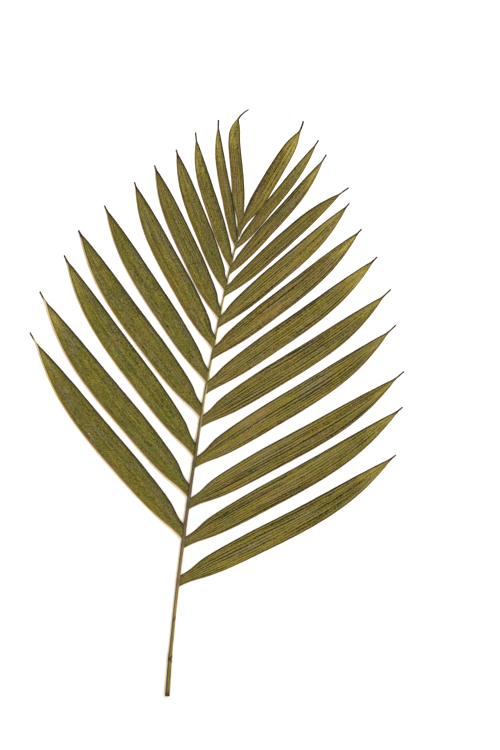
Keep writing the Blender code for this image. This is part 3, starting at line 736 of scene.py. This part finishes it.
stemRind = {
    # along the stem, in mm from the cut: its left edge, darkened with painted shade, its middle, and its
    # right edge, lightened higher up with a painted highlight
    "tones": [
        (0, "#1d0f07", "#1d0f07", "#1d0f07"), (1.2, "#2e1a0c", "#331d0e", "#2e1a0c"),
        (2.2, "#44301a", "#4c3216", "#46301a"), (6, "#48330f", "#74601c", "#6d6234"),
        (27, "#4c340f", "#77661e", "#757048"), (36, "#4f3714", "#746424", "#7c744a"),
        (55, "#523c18", "#746428", "#847a48"), (72, "#523c1c", "#867238", "#8f8450"),
        (95, "#5a4630", "#7a643c", "#857250"), (150, "#5e4a38", "#63543c", "#5c5240"),
        (200, "#5a4a2a", "#5e4f30", "#4a4526"), (240, "#594524", "#8a7d40", "#c6c48c"),
        (300, "#6a5428", "#948a42", "#d2cb98"), (345, "#6e5a34", "#857a48", "#a8a070"),
        (378, "#5f5636", "#6e6540", "#6f6544"),
    ],
    # where the left tone with its painted shade and the right tone with its painted highlight set in and are
    # full, as shares of the half width
    "toLeftShade": (-0.2, -0.7), "toRightHighlight": (0.1, 0.8),
    # the tone of the cracks, also used for the painted shadow mark
    "crackAndShadowTone": "#1d140a",
    # mm from the cut, how far it runs askew, half width and how dark: two cracks at the joint, and one higher
    # up that is partly a crack and partly the painted shadow of a crossing stem
    "cracksAndShadowMark": [(29.3, 1.7, 1.3, 1.0), (30.5, -1.7, 1.3, 1.0), (61.5, -2.2, 1.4, 1.0)],
    "crackCore": 0.2,
    "streak": "#2f2413",
    "streakShare": 0.75, "streakFrom": 0.55, "streakFull": 0.3,
    "fibreRun": 0.09,      # fibres change this often for each mm along the stem, and this often around it
    "fibresRound": 12.0,
    "scarShare": 0.25,
    "reliefMm": 0.15, "relief": 0.4, "dull": 0.5,
}


def driedStemMaterial():
    # dried palm stem: a hard, slightly polished rind over fibre. It reads as a yellow-green rod with dark
    # sides, the left one darkened further with painted shade and the right one lightened higher up with a
    # painted highlight, browner in the middle of its length, streaked, and with a dark brown cut
    made, tree = emptyMaterial("driedPalmStemRind")
    add = partial(addNode, tree)
    read = {}
    for label in ("alongMm", "around", "scar", "side"):
        read[label] = add("ShaderNodeAttribute", attribute_name=label).outputs["Fac"]
    length = stem["route"][-1][0]
    run = add("ShaderNodeMath", [read["alongMm"], length], operation="DIVIDE")
    rows = stemRind["tones"]
    strips = []
    for column in (1, 2, 3):
        ramp = add("ShaderNodeValToRGB", [run])
        steps = ramp.color_ramp.elements
        steps[0].position, steps[0].color = 0.0, linearColour(rows[0][column])
        steps[1].position, steps[1].color = 1.0, linearColour(rows[-1][column])
        for row in rows[1:-1]:
            steps.new(row[0] / length).color = linearColour(row[column])
        strips.append(ramp.outputs["Color"])
    # the rind darkens towards the left with painted shade and lightens towards the right with a painted
    # highlight, as light falls from the right
    toLeftShade = add("ShaderNodeMapRange", [read["side"], *stemRind["toLeftShade"], 0.0, 1.0])
    toRightHighlight = add("ShaderNodeMapRange", [read["side"], *stemRind["toRightHighlight"], 0.0, 1.0])
    colour = add("ShaderNodeMix", {0: toRightHighlight, 6: add("ShaderNodeMix", {0: toLeftShade, 6: strips[1],
                                                                        7: strips[0]},
                                                      data_type="RGBA").outputs[2], 7: strips[2]},
                 data_type="RGBA").outputs[2]

    fibrePlace = add("ShaderNodeCombineXYZ", [
        add("ShaderNodeMath", [read["alongMm"], stemRind["fibreRun"]], operation="MULTIPLY"),
        add("ShaderNodeMath", [read["around"], stemRind["fibresRound"]], operation="MULTIPLY"), 0.0])
    fibre = add("ShaderNodeTexNoise", {"Vector": fibrePlace, "Scale": 1.0, "Detail": 2.0})
    streak = add("ShaderNodeMapRange", [fibre, stemRind["streakFrom"], stemRind["streakFull"], 0.0,
                                        stemRind["streakShare"]])
    colour = add("ShaderNodeMix", {0: streak, 6: colour, 7: linearColour(stemRind["streak"])},
                 data_type="RGBA").outputs[2]
    # dark marks across the rind: cracks, the highest one partly a painted shadow cast by a crossing stem
    for place, askew, halfWide, depth in stemRind["cracksAndShadowMark"]:
        off = add("ShaderNodeMath", [read["side"], askew, read["alongMm"]], operation="MULTIPLY_ADD")
        off = add("ShaderNodeMath", [add("ShaderNodeMath", [off, place], operation="SUBTRACT")],
                  operation="ABSOLUTE")
        dark = add("ShaderNodeMapRange", [off, halfWide, stemRind["crackCore"], 0.0, depth])
        colour = add("ShaderNodeMix", {0: dark, 6: colour, 7: linearColour(stemRind["crackAndShadowTone"])},
                     data_type="RGBA").outputs[2]
    scarTone = add("ShaderNodeMath", [read["scar"], stemRind["scarShare"]], operation="MULTIPLY")
    colour = add("ShaderNodeMix", {0: scarTone, 6: colour, 7: linearColour(stemRind["streak"])},
                 data_type="RGBA").outputs[2]
    bump = add("ShaderNodeBump", {
        "Strength": stemRind["relief"], "Distance": stemRind["reliefMm"] * mm, "Height": fibre,
    })
    shader = add("ShaderNodeBsdfPrincipled", {
        "Base Color": colour, "Roughness": stemRind["dull"], "Normal": bump, "IOR": 1.45,
        "Specular IOR Level": 0.25, "Metallic": 0.0,
    })
    add("ShaderNodeOutputMaterial", [shader])
    return made


leafFinish = driedLeafMaterial()
stemFinish = driedStemMaterial()

print("frond: shaping the stem")
routeCurve = bpy.data.curves.new("stemRoute", "CURVE")
routeCurve.dimensions = "3D"
spline = routeCurve.splines.new("POLY")
stemLength = stem["route"][-1][0]
stops = [stem["cutAt"] + (stemLength - stem["cutAt"]) * n / (stem["stops"] - 1) for n in range(stem["stops"])]
spline.points.add(len(stops) - 1)
for stop, point in zip(stops, spline.points):
    aside = Vector((smoothTable(stem["drift"], stop, 1), 0, 0))
    point.co = (*((stemMiddle(stop) + aside) * mm), 1.0)
    point.radius = smoothTable(stem["route"], stop, 3) * mm
stemRoute = bpy.data.objects.new("stemRoute", routeCurve)
bpy.context.scene.collection.objects.link(stemRoute)
footPlaces = [stemMiddle(row[0]) for rows in ("left", "right", "end") for row in leaflet[rows]]
feet = pointCloud("feet", footPlaces, {})
stemPiece = plainMesh(stemRoute, stemTree(), {
    "Sides": stem["sides"], "Rings": stem["rings"], "Scar reach": stem["scarReach"] * mm,
    "Scar height": stem["scarHeight"] * mm, "Bark grain": stem["barkGrain"] * mm, "Feet": feet,
    "Finish": stemFinish,
}, "petioleAndRachis")
pieces = [stemPiece]

print("frond: shaping the leaflets")
growLeaflets = leafletTree()
for name, rows in (("leftLeaflets", "left"), ("rightLeaflets", "right"), ("endLeaflets", "end")):
    roots = leafletRoots(rows)
    pieces.append(plainMesh(roots, growLeaflets, {
        "Rows": leaflet["rows"], "Columns": leaflet["columns"], "Thickness": leaflet["thickness"] * mm,
        "Thread width": leaflet["threadWidth"] * mm, "Camber": leaflet["camber"],
        "Pleat height": leaflet["pleat"] * mm, "Wave height": leaflet["wave"] * mm,
        "Wave length": leaflet["waveLength"] * mm, "Edge wander": leaflet["edgeWander"] * mm,
        "Finish": leafFinish,
    }, name))
    bpy.data.objects.remove(roots)
bpy.data.objects.remove(feet)
bpy.data.objects.remove(stemRoute)
for piece in pieces:
    print("frond:", piece.name, "has", sum(len(f.vertices) - 2 for f in piece.data.polygons), "triangles")
    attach(piece, "root")
    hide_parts("palm_frond")

print("frond: floor, light and camera")
studio = {
    "paper": "#f4f3f1",
    "paperDull": 0.9,
    "paperReach": 3.0,                 # metres from the middle of the sheet to its edges
    "sky": 1.12,
    "skyTint": "#fff3e2",
    "key": 84.0,
    "keyTint": "#f1f5ff",
    "keySize": 1.6,
    "keyPlace": (2.0, 1.4, 2.2),       # metres from the middle of the frame, to the right, up and above
    "pixelMm": 0.8,                    # millimetres of the paper that one pixel of the photo covers
    "frame": (500, 750),
    "cutEnd": (167.5, 696.0),          # where the cut end of the stem shows, in pixels
    "lean": 8.5,                       # how far the frond's own axis leans to the right, in degrees
    "lens": 110.0,
    "sensor": 36.0,
    "sight": 20.0,                     # how far the camera sees, in metres
}
lean = math.radians(studio["lean"])
rightWay = Vector((math.cos(lean), math.sin(lean), 0))
upWay = Vector((-math.sin(lean), math.cos(lean), 0))
fromCut = (studio["frame"][0] / 2 - studio["cutEnd"][0], studio["cutEnd"][1] - studio["frame"][1] / 2)
frameMiddle = (rightWay * fromCut[0] + upWay * fromCut[1]) * studio["pixelMm"] * mm - rowOrigin * mm

floorMesh = bpy.data.meshes.new("paperFloor")
half = studio["paperReach"]
corners = [(-half, -half, 0), (half, -half, 0), (half, half, 0), (-half, half, 0)]
floorMesh.from_pydata(corners, [], [(0, 1, 2, 3)])
floor = bpy.data.objects.new("paperFloor", floorMesh)
bpy.context.scene.collection.objects.link(floor)
paper = bpy.data.materials.new("uncoatedWhitePaper")
paper.use_nodes = True
sheet = paper.node_tree.nodes["Principled BSDF"]
sheet.inputs["Base Color"].default_value = linearColour(studio["paper"])
sheet.inputs["Roughness"].default_value = studio["paperDull"]
floorMesh.materials.append(paper)

world = bpy.data.worlds.new("softStudio")
world.use_nodes = True
world.node_tree.nodes["Background"].inputs["Color"].default_value = linearColour(studio["skyTint"])
world.node_tree.nodes["Background"].inputs["Strength"].default_value = studio["sky"]
bpy.context.scene.world = world

keyLight = bpy.data.lights.new("softKey", "AREA")
keyLight.energy = studio["key"]
keyLight.size = studio["keySize"]
keyLight.color = linearColour(studio["keyTint"])[:3]
key = bpy.data.objects.new("softKey", keyLight)
bpy.context.scene.collection.objects.link(key)
x, y, z = studio["keyPlace"]
key.location = frameMiddle + rightWay * x + upWay * y + Vector((0, 0, z))
key.rotation_euler = (frameMiddle - key.location).to_track_quat("-Z", "Y").to_euler()

lens = bpy.data.cameras.new("photoCamera")
lens.lens = studio["lens"]
lens.sensor_width = studio["sensor"]
camera = bpy.data.objects.new("photoCamera", lens)
bpy.context.scene.collection.objects.link(camera)
tall = studio["frame"][1] * studio["pixelMm"] * mm
camera.location = frameMiddle + Vector((0, 0, tall * studio["lens"] / studio["sensor"]))
camera.rotation_euler = (0, 0, lean)
lens.clip_end = studio["sight"]
bpy.context.scene.camera = camera
bpy.context.scene.view_settings.view_transform = "Standard"
